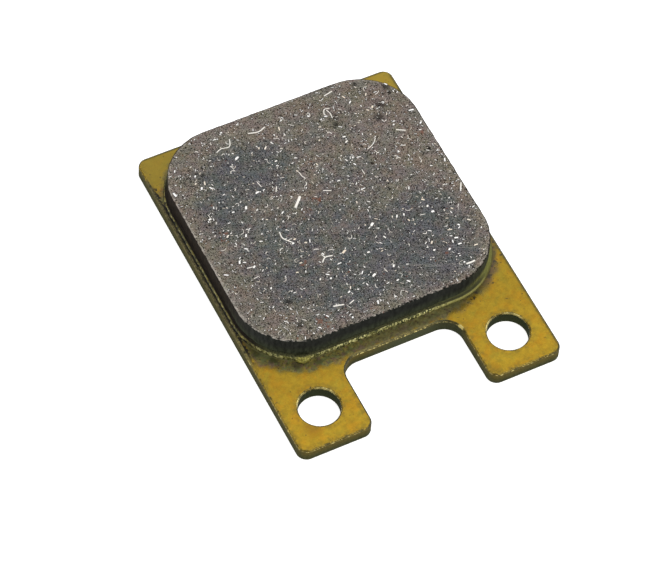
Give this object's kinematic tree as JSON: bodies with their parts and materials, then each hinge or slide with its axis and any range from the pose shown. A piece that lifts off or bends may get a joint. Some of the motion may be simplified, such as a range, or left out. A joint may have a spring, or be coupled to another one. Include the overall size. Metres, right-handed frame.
{
  "type": "bicycle disc brake pad",
  "caption": "Flat steel backing plate with a notched end and pin holes in its lugs, carrying a round-cornered block of friction compound on a resin bond.",
  "frame": {"origin": "on the back face of the plate, at the middle of the plate's length and width", "axes": "+Z from the back face towards the disc, +Y from the pin lugs towards the far edge, +X across the plate"},
  "size_m": [0.034, 0.0452, 0.005],
  "materials": {
    "plated_steel": "yellow-passivated zinc plating, satin, with fine dark specks and rolled edges",
    "bond_resin": "amber-olive cured resin, rough and shiny",
    "friction_compound": "matt grey-brown compound with pale cut fibres, flecks and small pits"
  },
  "bodies": {
    "root": {"backing_plate": "plated_steel", "bond_layer": "bond_resin", "friction_block": "friction_compound"}
  },
  "joints": []
}
